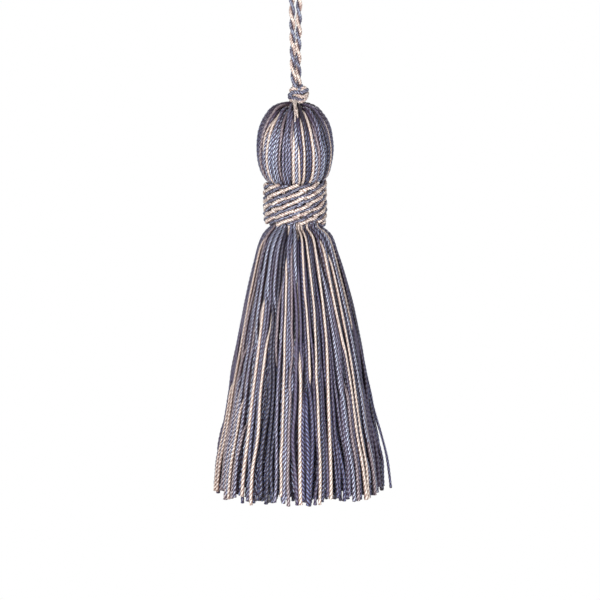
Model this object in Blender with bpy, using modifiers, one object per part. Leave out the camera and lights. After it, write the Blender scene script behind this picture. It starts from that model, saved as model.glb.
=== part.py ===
"""Tassel: a folded hank of plied yarn, bound at the neck, hung by a knotted loop of cord.

Metres, +Z up. The origin is the inside of the loop's bend, where a hook or a knob would hold it, and the
object is seen from -Y. Sizes below are in millimetres and are turned into metres as each mesh is made. A
drop is a height below the origin, and a shift is a place to the right of it.
"""

import math
from typing import NamedTuple

import bmesh
import bpy
from mathutils import Matrix, Vector
from mathutils.geometry import interpolate_bezier

METRES = 0.001  # in a millimetre

COLLECTION = "tassel"
GUIDES = "tassel_guides"

# Driving dimensions.
TOUCH = 0.3  # the gap kept between two pieces that touch
CORD_DIAMETER = 1.5  # the two-strand cord of the loop and of the binding

NECK_RADIUS = 6.1  # the yarns where they are bound
NECK_SHIFT = -0.1
HEM_RISE = 3.0  # how much higher the middle of the underside is than the hem
ROUND_STEPS = 64  # points round the yarn bundle

BINDING_DROP = 72.9  # its upper edge
BINDING_TURNS = 6
TURN_PITCH = 1.62
BEAD_STEPS = 5  # points on each turn's round outside
RING_STEPS = 48  # points round the binding

KNOT_WIDTH = 4.7
KNOT_DEPTH = 4.3
KNOT_HEIGHT = 3.8
KNOT_DROP = 49.85  # its middle
KNOT_SHIFT = 0.6
KNOT_CORE = 0.84  # the knot's inner lump, as a share of its width and depth
KNOT_TURN = 1.4  # thickness of the turn of cord round the lump
KNOT_TURN_TILT = math.radians(-24)
END_DIAMETER = 1.1  # the single end below the knot

LOOP_SPLIT = 2  # spline points for each stretch of the loop's route
END_SPLIT = 3


class Section(NamedTuple):
    """One ring of the yarn bundle."""

    drop: float
    radius: float
    shift: float
    fluting: float  # how far the locks of yarn stand out
    rag: float  # how far the cut ends differ in height


# From the head's top to the hem. The stretch of NECK_RADIUS lies under the binding.
SECTIONS = (
    #       drop   radius  shift  fluting  rag
    Section(52.2, 1.9, -0.10, 0.00, 0.0),
    Section(52.5, 4.5, -0.20, 0.04, 0.0),
    Section(53.3, 6.0, -0.25, 0.06, 0.0),
    Section(54.5, 7.2, -0.25, 0.08, 0.0),
    Section(56.2, 8.3, -0.25, 0.10, 0.0),
    Section(58.3, 9.1, -0.25, 0.12, 0.0),
    Section(60.6, 9.5, -0.25, 0.12, 0.0),
    Section(63.2, 9.7, -0.20, 0.12, 0.0),
    Section(66.0, 9.5, -0.20, 0.12, 0.0),
    Section(68.6, 8.9, -0.15, 0.10, 0.0),
    Section(70.6, 8.1, -0.10, 0.08, 0.0),
    Section(72.0, 7.3, NECK_SHIFT, 0.05, 0.0),
    Section(72.7, NECK_RADIUS, NECK_SHIFT, 0.00, 0.0),
    Section(82.8, NECK_RADIUS, NECK_SHIFT, 0.00, 0.0),
    Section(83.5, 7.6, -0.05, 0.10, 0.0),
    Section(85.2, 9.0, 0.00, 0.20, 0.0),
    Section(88.4, 10.3, 0.05, 0.30, 0.0),
    Section(93.5, 11.6, 0.15, 0.35, 0.0),
    Section(101.0, 13.3, 0.25, 0.40, 0.0),
    Section(111.0, 15.2, 0.40, 0.45, 0.0),
    Section(121.5, 17.1, 0.50, 0.50, 0.0),
    Section(132.0, 19.2, 0.65, 0.55, 0.3),
    Section(141.0, 21.0, 0.75, 0.60, 0.7),
    Section(148.6, 21.7, 0.85, 0.60, 1.0),
)


class Ripple(NamedTuple):
    """One even wave round the skirt. A few of them together make its uneven locks and hem."""

    locks: int
    share: float
    turn: float  # radians


LOCKS = (Ripple(5, 0.35, 0.4), Ripple(9, 0.40, 1.7), Ripple(16, 0.25, 3.1))
HEM_RAG = (Ripple(3, 0.30, 2.2), Ripple(8, 0.35, 0.9), Ripple(21, 0.35, 4.0))

# The loop cord's centre line, chosen by hand: up the left leg, round the bend and down the right leg.
LOOP_ROUTE = (
    (-0.80, 0.00, -47.45),
    (-0.94, 0.05, -43.10),
    (-0.88, 0.00, -38.50),
    (-0.94, -0.05, -34.00),
    (-0.90, 0.00, -29.50),
    (-1.05, 0.05, -25.00),
    (-1.50, 0.05, -20.50),
    (-2.25, 0.00, -16.00),
    (-3.15, -0.05, -11.50),
    (-3.85, 0.00, -7.20),
    (-3.95, 0.05, -3.40),
    (-2.75, 0.00, -0.45),
    (0.00, 0.00, 0.75),
    (2.80, 0.00, -0.50),
    (3.95, -0.05, -3.50),
    (3.80, 0.00, -7.30),
    (3.10, 0.05, -11.60),
    (2.20, 0.00, -16.10),
    (1.45, -0.05, -20.60),
    (1.02, 0.00, -25.10),
    (0.92, 0.00, -29.60),
    (0.95, 0.05, -34.10),
    (0.88, 0.00, -38.60),
    (1.00, -0.05, -43.10),
    (1.20, 0.00, -47.45),
)

# The end below the knot: out over the head's shoulder and down its front to where it dives in.
END_ROUTE = (
    (0.45, -0.90, -50.60),
    (0.32, -2.80, -51.15),
    (0.22, -4.70, -51.50),
    (0.12, -6.65, -52.50),
    (0.08, -8.10, -53.90),
    (0.12, -9.25, -55.75),
    (0.18, -9.70, -57.00),
)


def remove_everything() -> None:
    """Empties the scene."""
    for found in list(bpy.data.objects):
        bpy.data.objects.remove(found, do_unlink=True)


def collection(name: str) -> bpy.types.Collection:
    """A new collection in the scene."""
    made = bpy.data.collections.new(name)
    bpy.context.scene.collection.children.link(made)
    return made


def material(name: str, colour: tuple[float, float, float], roughness: float) -> bpy.types.Material:
    """A plain Principled finish for one part."""
    made = bpy.data.materials.new(name)
    made.use_nodes = True
    shader = made.node_tree.nodes["Principled BSDF"]
    shader.inputs["Base Color"].default_value = (*colour, 1.0)
    shader.inputs["Roughness"].default_value = roughness
    shader.inputs["Metallic"].default_value = 0.0
    return made


def mesh_part(name: str, bm: bmesh.types.BMesh, finish: bpy.types.Material, crease_deg: float,
              parts: bpy.types.Collection) -> bpy.types.Object:
    """Turns a mesh in millimetres into one named part, smooth but for its creases."""
    bm.transform(Matrix.Scale(METRES, 4))
    mesh = bpy.data.meshes.new(name)
    bm.to_mesh(mesh)
    bm.free()
    mesh.materials.append(finish)
    mesh.shade_smooth()
    mesh.set_sharp_from_angle(angle=math.radians(crease_deg))
    part = bpy.data.objects.new(name, mesh)
    parts.objects.link(part)
    return part


def wave(ripples: tuple[Ripple, ...], angle: float) -> float:
    """The sum of the ripples at an angle round the bundle, from about -1 to 1."""
    return sum(ripple.share * math.sin(ripple.locks * angle + ripple.turn) for ripple in ripples)


def section_ring(bm: bmesh.types.BMesh, row: Section) -> list[bmesh.types.BMVert]:
    """The points of one section, with its locks and its uneven ends."""
    ring = []
    for step in range(ROUND_STEPS):
        angle = math.tau * step / ROUND_STEPS
        radius = row.radius + row.fluting * wave(LOCKS, angle)
        drop = row.drop + row.rag * wave(HEM_RAG, angle)
        ring.append(bm.verts.new((row.shift + radius * math.cos(angle), radius * math.sin(angle), -drop)))
    return ring


def yarn_bundle(parts: bpy.types.Collection) -> bpy.types.Object:
    """The folded hank: egg-shaped head, bound neck, fluted skirt and ragged hem, as one loft of rings."""
    bm = bmesh.new()
    rings = [section_ring(bm, row) for row in SECTIONS]
    top, hem = SECTIONS[0], SECTIONS[-1]
    crown = bm.verts.new((top.shift, 0.0, -top.drop))
    underside = bm.verts.new((hem.shift, 0.0, HEM_RISE - hem.drop))
    for step in range(ROUND_STEPS):
        after = (step + 1) % ROUND_STEPS
        for upper, lower in zip(rings, rings[1:]):
            bm.faces.new((upper[step], lower[step], lower[after], upper[after]))
        bm.faces.new((crown, rings[0][step], rings[0][after]))
        bm.faces.new((underside, rings[-1][after], rings[-1][step]))
    return mesh_part("yarn_bundle", bm, material("mixed_yarn", (0.21, 0.21, 0.32), 0.6), 50, parts)


def binding_outline() -> list[tuple[float, float]]:
    """The wound cord's cross-section: a straight inside, and one round bead for each turn outside."""
    inner = (NECK_RADIUS + TOUCH) / math.cos(math.pi / RING_STEPS)
    bead = TURN_PITCH / 2
    outline = []
    for turn in range(BINDING_TURNS):
        middle = BINDING_DROP + bead + turn * TURN_PITCH
        for step in range(BEAD_STEPS):
            lean = math.pi * (step / BEAD_STEPS - 0.5)
            outline.append((inner + bead + bead * math.cos(lean), -middle - bead * math.sin(lean)))
    bottom = BINDING_DROP + BINDING_TURNS * TURN_PITCH
    outline.append((inner + bead, -bottom))
    outline.append((inner, bead / 2 - bottom))
    outline.append((inner, -bead / 2 - BINDING_DROP))
    return outline


def neck_binding(parts: bpy.types.Collection) -> bpy.types.Object:
    """The wound cord round the neck, as one turned ring."""
    corners = [(radius * METRES, 0.0, height * METRES) for radius, height in binding_outline()]
    edges = [(n, (n + 1) % len(corners)) for n in range(len(corners))]
    mesh = bpy.data.meshes.new("neck_binding")
    mesh.from_pydata(corners, edges, [])
    mesh.materials.append(material("binding_cord", (0.55, 0.52, 0.52), 0.55))
    ring = bpy.data.objects.new("neck_binding", mesh)
    ring.location.x = NECK_SHIFT * METRES
    parts.objects.link(ring)
    turned = ring.modifiers.new("turned", "SCREW")
    turned.steps = RING_STEPS
    turned.render_steps = RING_STEPS
    turned.use_merge_vertices = True
    turned.merge_threshold = 0.00001
    turned.use_smooth_shade = True
    return ring


def smooth_line(route: tuple[tuple[float, float, float], ...], split: int) -> list[Vector]:
    """Points on one smooth curve through a route, with split of them for each stretch."""
    stops = [Vector(point) for point in route]
    last = len(stops) - 1
    handles = [(stops[min(n + 1, last)] - stops[max(n - 1, 0)]) / 6 for n in range(last + 1)]
    line = []
    for n in range(last):
        leave = stops[n] + handles[n]
        arrive = stops[n + 1] - handles[n + 1]
        line += interpolate_bezier(stops[n], leave, arrive, stops[n + 1], split + 1)[:-1]
    line.append(stops[last])
    return line


def tube(name: str, line: list[Vector], diameter: float, owner: bpy.types.Collection) -> bpy.types.Object:
    """A round cord along a line, as a curve with filled caps."""
    curve = bpy.data.curves.new(name, "CURVE")
    curve.dimensions = "3D"
    curve.bevel_depth = diameter / 2 * METRES
    curve.bevel_resolution = 2
    curve.use_fill_caps = True
    curve.render_resolution_u = 0
    spline = curve.splines.new("POLY")
    spline.points.add(len(line) - 1)
    for point, place in zip(spline.points, line):
        point.co = (*(place * METRES), 1.0)
    cord = bpy.data.objects.new(name, curve)
    owner.objects.link(cord)
    return cord


def as_guide(guide: bpy.types.Object) -> bpy.types.Object:
    """Marks an object that only shapes another one."""
    guide.hide_render = True
    guide.display_type = "WIRE"
    return guide


def knot_end(guides: bpy.types.Collection) -> bpy.types.Object:
    """The end below the knot, as a closed mesh."""
    drawn = tube("knot_end_line", smooth_line(END_ROUTE, END_SPLIT), END_DIAMETER, guides)
    mesh = bpy.data.meshes.new_from_object(drawn.evaluated_get(bpy.context.evaluated_depsgraph_get()))
    end = bpy.data.objects.new("knot_end", mesh)
    end.matrix_world = drawn.matrix_world.copy()
    guides.objects.link(end)
    bpy.data.objects.remove(drawn, do_unlink=True)
    bm = bmesh.new()
    bm.from_mesh(mesh)
    bmesh.ops.remove_doubles(bm, verts=bm.verts, dist=0.00001)
    bmesh.ops.recalc_face_normals(bm, faces=bm.faces)
    bm.to_mesh(mesh)
    bm.free()
    return as_guide(end)


def knot_turn(guides: bpy.types.Collection) -> bpy.types.Object:
    """The turn of cord round the knot's waist, tilted as the turn of an overhand knot is."""
    bpy.ops.mesh.primitive_torus_add(
        major_segments=28,
        minor_segments=10,
        major_radius=(KNOT_WIDTH - KNOT_TURN) / 2,
        minor_radius=KNOT_TURN / 2,
    )
    turn = bpy.context.object
    turn.name = "knot_turn"
    flatten = Matrix.Diagonal((1.0, KNOT_DEPTH / KNOT_WIDTH, 1.0, 1.0))
    tilt = Matrix.Rotation(KNOT_TURN_TILT, 4, "Y")
    place = Matrix.Translation((KNOT_SHIFT, 0.0, -KNOT_DROP))
    turn.data.transform(Matrix.Scale(METRES, 4) @ place @ tilt @ flatten)
    for owner in list(turn.users_collection):
        owner.objects.unlink(turn)
    guides.objects.link(turn)
    return as_guide(turn)


def loop_knot(parts: bpy.types.Collection, guides: bpy.types.Collection) -> bpy.types.Object:
    """The overhand knot and the end below it, joined into one body."""
    bm = bmesh.new()
    bmesh.ops.create_uvsphere(bm, u_segments=20, v_segments=14, radius=0.5)
    size = Matrix.Diagonal((KNOT_WIDTH * KNOT_CORE, KNOT_DEPTH * KNOT_CORE, KNOT_HEIGHT, 1.0))
    bm.transform(Matrix.Translation((KNOT_SHIFT, 0.0, -KNOT_DROP)) @ size)
    knot = mesh_part("loop_knot", bm, material("knot_cord", (0.72, 0.66, 0.60), 0.55), 60, parts)
    for guide in (knot_turn(guides), knot_end(guides)):
        joined = knot.modifiers.new(guide.name, "BOOLEAN")
        joined.operation = "UNION"
        joined.solver = "EXACT"
        joined.object = guide
    return knot


def hanging_loop(parts: bpy.types.Collection) -> bpy.types.Object:
    """The two legs of cord and the bend that closes them."""
    cord = tube("hanging_loop", smooth_line(LOOP_ROUTE, LOOP_SPLIT), CORD_DIAMETER, parts)
    cord.data.materials.append(material("loop_cord", (0.60, 0.57, 0.56), 0.55))
    return cord


def main() -> None:
    """Builds the tassel."""
    remove_everything()
    parts = collection(COLLECTION)
    guides = collection(GUIDES)
    yarn_bundle(parts)
    neck_binding(parts)
    loop_knot(parts, guides)
    hanging_loop(parts)


main()
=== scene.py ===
"""The looks of the hanging tassel: every yarn, strand and ply of it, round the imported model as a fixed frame.

Metres and radians, +Z up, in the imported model's frame: the origin is the inside of the loop's bend and the
photograph looks along +Y. The routes and the outline are in millimetres, the front yarns' places in degrees.
A drop is a height below the origin. An azimuth is an angle round the tassel from the front, positive towards
the right. Every yarn and every strand of cord is one tube with a lobe for each of its plies.
"""

import logging
import math
from dataclasses import dataclass, field
from enum import Enum
from functools import partialmethod

import bpy
import numpy as np
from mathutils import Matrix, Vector
from numpy import ndarray
from numpy.random import Generator

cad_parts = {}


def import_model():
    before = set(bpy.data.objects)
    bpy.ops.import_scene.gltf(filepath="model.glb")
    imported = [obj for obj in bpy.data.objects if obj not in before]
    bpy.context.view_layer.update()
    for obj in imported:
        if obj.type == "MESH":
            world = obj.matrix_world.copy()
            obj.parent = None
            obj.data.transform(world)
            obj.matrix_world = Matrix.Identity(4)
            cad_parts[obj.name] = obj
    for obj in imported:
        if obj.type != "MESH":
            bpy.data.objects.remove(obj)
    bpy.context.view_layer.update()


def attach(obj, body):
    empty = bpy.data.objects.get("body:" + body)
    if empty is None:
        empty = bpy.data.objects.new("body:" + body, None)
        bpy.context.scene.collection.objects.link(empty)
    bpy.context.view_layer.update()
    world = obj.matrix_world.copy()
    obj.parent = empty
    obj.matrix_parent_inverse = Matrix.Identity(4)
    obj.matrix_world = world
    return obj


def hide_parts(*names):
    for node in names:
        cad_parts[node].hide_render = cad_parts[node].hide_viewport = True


LOG = logging.getLogger("tassel")

GOLDEN_ANGLE = math.pi * (3 - math.sqrt(5))
MM = 0.001


class Tone(Enum):
    """The dye colours of the yarns and of the cord's strands, each finished with painted highlights on the ply
    crests and painted shade in the grooves.
    """

    CREAM = "cream_yarn"
    # A paler slate, and partly painted light: its crests carry the strongest painted highlight of the blue
    # yarns.
    BRIGHT = "bright_slate_yarn"
    SLATE = "slate_yarn"
    NAVY = "navy_yarn"
    DARK = "dark_navy_yarn"
    DUSK = "dusk_yarn"
    # A greyer, pinker cream; partly painted shade, for cream yarns that lie in shade.
    TAUPE = "taupe_yarn"
    CORD_CREAM = "cream_strand"
    CORD_SLATE = "slate_strand"


CREAM, BRIGHT, SLATE, NAVY, DARK, DUSK, TAUPE, CORD_CREAM, CORD_SLATE = Tone

Materials = dict[Tone, bpy.types.Material]


class Twist(Enum):
    """Which way plies wind round their middle, as their slant shows on an upright yarn."""

    Z = 1
    S = -1


# The loop cord's centre line: up the left leg, round the bend, down the right leg.
LOOP_ROUTE = (
    (-0.3, -0.4, -47.45), (-0.5, -0.25, -45.3), (-0.66, -0.05, -43.1), (-0.7, -0.05, -38.5),
    (-0.78, -0.1, -34), (-0.84, 0, -29.5), (-1, 0.05, -25), (-1.5, 0.05, -20.5), (-2.25, 0, -16),
    (-3.15, -0.05, -11.5), (-3.85, 0, -7.2), (-3.95, 0.05, -3.4), (-2.75, 0, -0.45), (0, 0, 0.75),
    (2.8, 0, -0.5), (3.95, -0.05, -3.5), (3.8, 0, -7.3), (3.1, 0.05, -11.6), (2.2, 0, -16.1),
    (1.45, -0.05, -20.6), (0.98, 0, -25.1), (0.82, 0, -29.6), (0.78, 0.1, -34.1), (0.66, 0.1, -38.6),
    (0.66, 0.15, -43.1), (0.76, 0.2, -45.3), (0.8, 0.3, -47.45),
)

# The knot, strand by strand, from the photograph at the front.
KNOT_STRANDS = (
    # Upper turn.
    (CORD_SLATE, (
        (0.7, 1.5, -49.8), (-0.7, 1.3, -50.1), (-1.45, 0.2, -50.1), (-1.25, -0.9, -49.75),
        (-0.4, -1.65, -49.2), (0.9, -2, -49.25), (2, -1.6, -49.15), (2.75, -0.7, -48.75),
        (2.65, 0.4, -48.7), (1.6, 1.4, -48.9), (0.3, 1.5, -49.2),
    )),
    # Under the upper turn, out at the right.
    (CORD_CREAM, (
        (0.2, 1.4, -50.3), (-0.9, 0.9, -50.2), (-0.9, -0.3, -49.9), (0.1, -1.3, -49.8), (0.9, -1.9, -50.1),
        (1.6, -1.95, -50.35), (2.3, -1.5, -50.25), (2.85, -0.6, -49.8), (2.75, 0.5, -49.5),
        (1.7, 1.5, -49.7), (0.4, 1.2, -50),
    )),
    # Lower turn.
    (CORD_SLATE, (
        (1, 1.3, -50.7), (-0.6, 1.1, -50.8), (-1.45, 0.1, -50.65), (-1.15, -0.95, -50.55),
        (-0.2, -1.55, -50.75), (0.9, -1.6, -50.95), (1.8, -1.2, -51.1), (2.3, -0.4, -50.9),
    )),
    # Lowest turn.
    (CORD_CREAM, (
        (1.1, 1.1, -51.2), (-0.3, 0.9, -51.3), (-1.1, -0.1, -51.2), (-0.9, -1, -51.25),
        (-0.2, -1.5, -51.45), (0.7, -1.65, -51.65), (1.7, -1.3, -51.5), (2.5, -0.7, -50.85),
        (2.8, 0.1, -50.2), (2.3, 1, -50), (1.2, 1.4, -50.4),
    )),
    # Right ear.
    (CORD_CREAM, (
        (0.9, -0.5, -49.3), (1.35, -0.95, -48.85), (1.75, -1, -48.3), (2.2, -0.7, -48.15),
        (2.3, -0.2, -48.6), (1.9, 0.4, -49),
    )),
    # Left ear.
    (CORD_CREAM, (
        (0.5, -0.8, -48.75), (-0.3, -1.1, -48.45), (-0.95, -0.8, -48.6), (-1.15, 0.1, -49),
        (-0.6, 0.9, -49.3),
    )),
    # Right leg's strand.
    (CORD_SLATE, (
        (1.5, -0.3, -47.6), (1.45, -0.75, -48.1), (1, -1, -48.55), (0.7, -0.8, -49.1),
    )),
    # Back.
    (CORD_SLATE, (
        (-0.9, 0.6, -48.6), (0.1, 1.3, -48.35), (1.3, 1.2, -48.3), (2.2, 0.4, -48.3),
    )),
)

# The legs' ways into the knot, each from the loop's end down.
LEFT_LEG_ROUTE = (
    (-0.3, -0.4, -47.45), (-0.2, -0.45, -47.95), (0, -0.5, -48.5), (0.6, -0.4, -49.1), (0.9, 0.1, -49.7),
    (0.8, 0.3, -50.5),
)
RIGHT_LEG_ROUTE = (
    (0.8, 0.3, -47.45), (0.85, 0.3, -47.9), (0.9, 0.3, -48.6), (0.7, 0.3, -49.4), (0.4, -0.2, -50.3),
    (0.4, -0.4, -51.2),
)

# The end below the knot, down to where it dives in between the yarns, and a stub beside it.
END_ROUTE = (
    (-0.05, -0.7, -51), (-0.15, -1.5, -51.45), (-0.17, -2.7, -51.6), (-0.15, -4.1, -51.8),
    (-0.12, -5.6, -52.4), (-0.1, -7, -53.65), (-0.12, -8, -55.2), (-0.15, -8.3, -55.9),
)
STUB_ROUTE = (
    (0.2, -6.6, -53.3), (0.36, -7.45, -54), (0.5, -7.9, -54.6), (0.56, -7.9, -55),
)

# The bundle's outline: rows of a drop, a radius, a shift to the right and how far the locks stand out.
OUTLINE = (
    (51.5, 0.8, -0.4, 0), (51.7, 2.6, -0.4, 0.02), (52.1, 4.2, -0.35, 0.04), (53, 5.9, -0.3, 0.06),
    (54.5, 7.2, -0.25, 0.08), (56.2, 8.3, -0.25, 0.1), (58.3, 9.1, -0.25, 0.12), (60.6, 9.5, -0.25, 0.12),
    (63.2, 9.7, -0.2, 0.12), (66, 9.5, -0.2, 0.12), (68.6, 8.9, -0.15, 0.1), (70.2, 8.2, -0.1, 0.08),
    (71.4, 7.3, -0.1, 0.05), (72.7, 6.3, -0.1, 0), (78, 6.1, -0.1, 0), (82.2, 6.2, -0.1, 0),
    (83.5, 7.5, 0.15, 0.1), (85.2, 9, 0.25, 0.2), (88.4, 10.4, 0.2, 0.3), (93.5, 11.8, 0.3, 0.35),
    (101, 13.6, 0.5, 0.4), (111, 15.7, 0.7, 0.45), (121.5, 17.6, 0.7, 0.5), (132, 19.3, 0.65, 0.55),
    (141, 21.1, 0.65, 0.6), (150, 22, 0.65, 0.6),
)

# How far the cord's strands are turned at the loop's two ends, as in the photograph.
LEFT_TURN = 0.157
RIGHT_TURN = 1.60

# How strongly the plies' bumps, painted crest highlights and painted groove shade show at some drops: weakest
# at the head's top, less where the skirt begins, most near the hem.
MARKS = ((0.0515, 0.25), (0.0550, 0.55), (0.0590, 1.15), (0.0680, 1.40), (0.0835, 1.05), (0.1010, 1.10),
         (0.1150, 1.20), (0.1280, 1.40), (0.1500, 1.50))

# How thick the yarns are at some drops, as a share of their own: slimmer where the skirt begins.
GIRTH = ((0.0780, 1.00), (0.0850, 0.88), (0.1100, 0.92), (0.1300, 1.02), (0.1500, 1.12))

# How far below its neighbours a hidden yarn lies at some drops.
HIDDEN = ((0.0520, 0.00160), (0.0560, 0.00110), (0.0600, 0.00045), (0.0770, 0.00045), (0.0800, 0.00190),
          (0.1120, 0.00190), (0.1300, 0.00380))

# The yarns of the head fan out towards the sides of its front: drops, and how far there.
FAN = ((0.0545, -0.22), (0.0640, 0.0), (0.0715, 0.10), (0.0800, 0.0))

# The stray yarn at the right: drops, and how deep it lies there.
STRAY = ((0.1210, 0.00046), (0.1280, 0.00025), (0.1345, -0.00045), (0.1413, -0.00080), (0.1500, -0.00105))

# Ripples: how many in a radian or metre, their size and their turn.
LOCKS = ((5, 0.35, 0.4), (9, 0.40, 1.7), (16, 0.25, 3.1))
HEM_RAG = ((3, 0.30, 2.2), (8, 0.35, 0.9), (21, 0.35, 4.0))
BINDING_RADIUS = ((2.3, 0.00005, 0.0), (5.1, 0.00004, 1.0))
BINDING_DROP = ((3.7, 0.00006, 0.5),)
BINDING_DRIFT = ((1 / 0.0081, 0.06, 0.0), (1 / 0.0047, 0.05, 1.9), (1 / 0.0029, 0.04, 0.0))

# Random waves: their length and their size, in metres and then in radians.
BINDING_WAVES = ((0.0067, 0.00007), (0.0041, 0.00006), (0.0023, 0.00004))
YARN_WAVES = ((0.045, 0.020), (0.021, 0.012), (0.011, 0.004))


# ---- lines ----


def wave(ripples: tuple, at: ndarray) -> ndarray:
    """The sum of the ripples at some places."""
    return sum(size * np.sin(count * at + turn) for count, size, turn in ripples)


def read_off(table: tuple, at: ndarray) -> ndarray:
    """The table's values at some places, even between its rows."""
    return np.interp(at, *zip(*table))


def smooth_line(route: tuple, split: int) -> ndarray:
    """Points on one smooth curve through a route's stops.

    Args:
        route: one row for each stop, in millimetres.
        split: points for each stretch between two stops.

    Returns:
        The curve's points, as rows.
    """
    stops = np.array(route) * MM
    handles = np.gradient(stops, axis=0) / 3
    handles[0] /= 2
    handles[-1] /= 2
    t = np.linspace(0, 1, split, endpoint=False)[None, :, None]
    start = stops[:-1, None]
    end = stops[1:, None]
    leave = start + handles[:-1, None]
    arrive = end - handles[1:, None]
    line = (1 - t) ** 3 * start + 3 * (1 - t) ** 2 * t * leave + 3 * (1 - t) * t**2 * arrive + t**3 * end
    return np.vstack([line.reshape(-1, stops.shape[1]), stops[-1:]])


def distance_along(line: ndarray) -> ndarray:
    """How far along a line of points each of them lies."""
    return np.append(0.0, np.cumsum(np.linalg.norm(np.diff(line, axis=0), axis=1)))


def even_steps(line: ndarray, step: float) -> ndarray:
    """The same line with its points about a step apart.

    Args:
        line: rows of points.
        step: the distance wanted.

    Returns:
        The new points, as rows.
    """
    along = distance_along(line)
    wanted = np.linspace(0, along[-1], max(round(along[-1] / step), 2) + 1)
    return np.column_stack([np.interp(wanted, along, column) for column in line.T])


def unit(rows: ndarray) -> ndarray:
    """Each row at length 1."""
    return rows / np.linalg.norm(rows, axis=-1, keepdims=True)


def round_off(line: ndarray) -> ndarray:
    """The directions straight out from the tassel's middle at a line's points."""
    return unit(line * (1, 1, 0))


def carried_normals(tangents: ndarray) -> ndarray:
    """Directions square to a line that turn as little as they can along it, the first one forwards.

    Args:
        tangents: the line's directions.

    Returns:
        One direction for each of them.
    """
    normals = np.empty_like(tangents)
    carried = np.array((0.0, -1.0, 0.0))
    for n, tangent in enumerate(tangents):
        carried = unit(carried - tangent * carried.dot(tangent))
        normals[n] = carried
    return normals


# ---- objects ----


def placed(name: str, data: bpy.types.ID) -> bpy.types.Object:
    """A new object in the scene.

    Args:
        name: what it is called.
        data: what it shows.

    Returns:
        The object.
    """
    made = bpy.data.objects.new(name, data)
    bpy.context.scene.collection.objects.link(made)
    return made


def fetched(items: bpy.types.bpy_prop_collection, key: str, width: int = 1,
            kind: type = np.float32) -> ndarray:
    """One property of all items of a mesh, as rows where it has a width.

    Args:
        items: its vertices, loops, faces or map.
        key: the property.
        width: how many values an item has.
        kind: their type.

    Returns:
        The values.
    """
    values = np.empty(len(items) * width, kind)
    items.foreach_get(key, values)
    return values if width == 1 else values.reshape(-1, width)


def triangles(piece: bpy.types.Object) -> int:
    """How many triangles a mesh piece has."""
    return int((fetched(piece.data.polygons, "loop_total", kind=np.int32) - 2).sum())


# ---- shaders ----


class Socket:
    """A shader socket whose arithmetic adds the Math nodes that work it out."""

    def __init__(self, graph: "Graph", link: bpy.types.NodeSocket) -> None:
        """Keeps the socket with the graph it is in."""
        self.graph = graph
        self.link = link

    def __getitem__(self, output: int | str) -> "Socket":
        """Another output of the same node."""
        return Socket(self.graph, self.link.node.outputs[output])

    def _maths(self, operation: str, *others: "Socket | float") -> "Socket":
        """One Math node over this and others."""
        return self.graph.node("ShaderNodeMath", dict(enumerate((self, *others))), operation=operation)

    def __rsub__(self, other: float) -> "Socket":
        """The other less this."""
        return self.graph.node("ShaderNodeMath", {0: other, 1: self}, operation="SUBTRACT")

    __add__ = partialmethod(_maths, "ADD")
    __sub__ = partialmethod(_maths, "SUBTRACT")
    __mul__ = partialmethod(_maths, "MULTIPLY")
    __pow__ = partialmethod(_maths, "POWER")
    __mod__ = partialmethod(_maths, "MODULO")
    __abs__ = partialmethod(_maths, "ABSOLUTE")


class Graph:
    """The node tree of a material or world."""

    def __init__(self, owner: bpy.types.Material | bpy.types.World) -> None:
        """Starts with an empty tree."""
        self.owner = owner
        owner.use_nodes = True
        owner.node_tree.nodes.clear()

    def node(self, kind: str, inputs: dict, **settings: str) -> Socket:
        """Adds one node.

        Args:
            kind: the node's type.
            inputs: a value or a Socket for each input, by name or number.
            settings: its properties.

        Returns:
            The node's first output.
        """
        made = self.owner.node_tree.nodes.new(kind)
        for name, value in settings.items():
            setattr(made, name, value)
        for name, value in inputs.items():
            if isinstance(value, Socket):
                self.owner.node_tree.links.new(value.link, made.inputs[name])
            else:
                made.inputs[name].default_value = value
        return Socket(self, made.outputs[0])

    def attribute(self, name: str) -> Socket:
        """A value that the piece's points carry."""
        return self.node("ShaderNodeAttribute", {}, attribute_name=name)["Fac"]

    def noise(self, place: Socket, scale: float, detail: float, roughness: float, dimensions: str) -> Socket:
        """Soft noise from 0 to 1."""
        inputs = {"Vector": place, "Scale": scale, "Detail": detail, "Roughness": roughness}
        return self.node("ShaderNodeTexNoise", inputs, noise_dimensions=dimensions)

    def clamped(self, value: Socket) -> Socket:
        """The value, not below 0 or above 1."""
        return self.node("ShaderNodeClamp", {"Value": value})

    def mixed(self, share: Socket, first: tuple | Socket, second: tuple) -> Socket:
        """The first colour with a share of the second."""
        return self.node("ShaderNodeMix", {0: share, 6: first, 7: second}, data_type="RGBA")[2]

    def shown(self, shader: Socket) -> bpy.types.Material | bpy.types.World:
        """Leads a shader to the output of the material or world, and returns that.

        Args:
            shader: a surface or background.

        Returns:
            The material or world.
        """
        kind = "World" if isinstance(self.owner, bpy.types.World) else "Material"
        output = self.owner.node_tree.nodes.new(f"ShaderNodeOutput{kind}")
        self.owner.node_tree.links.new(shader.link, output.inputs["Surface"])
        return self.owner


def linear(red: int, green: int, blue: int) -> tuple[float, float, float, float]:
    """A colour from its 0 to 255 values as a screen shows them."""
    shares = [value / 255 for value in (red, green, blue)]
    return (*(s / 12.92 if s <= 0.04045 else ((s + 0.055) / 1.055) ** 2.4 for s in shares), 1.0)


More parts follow.
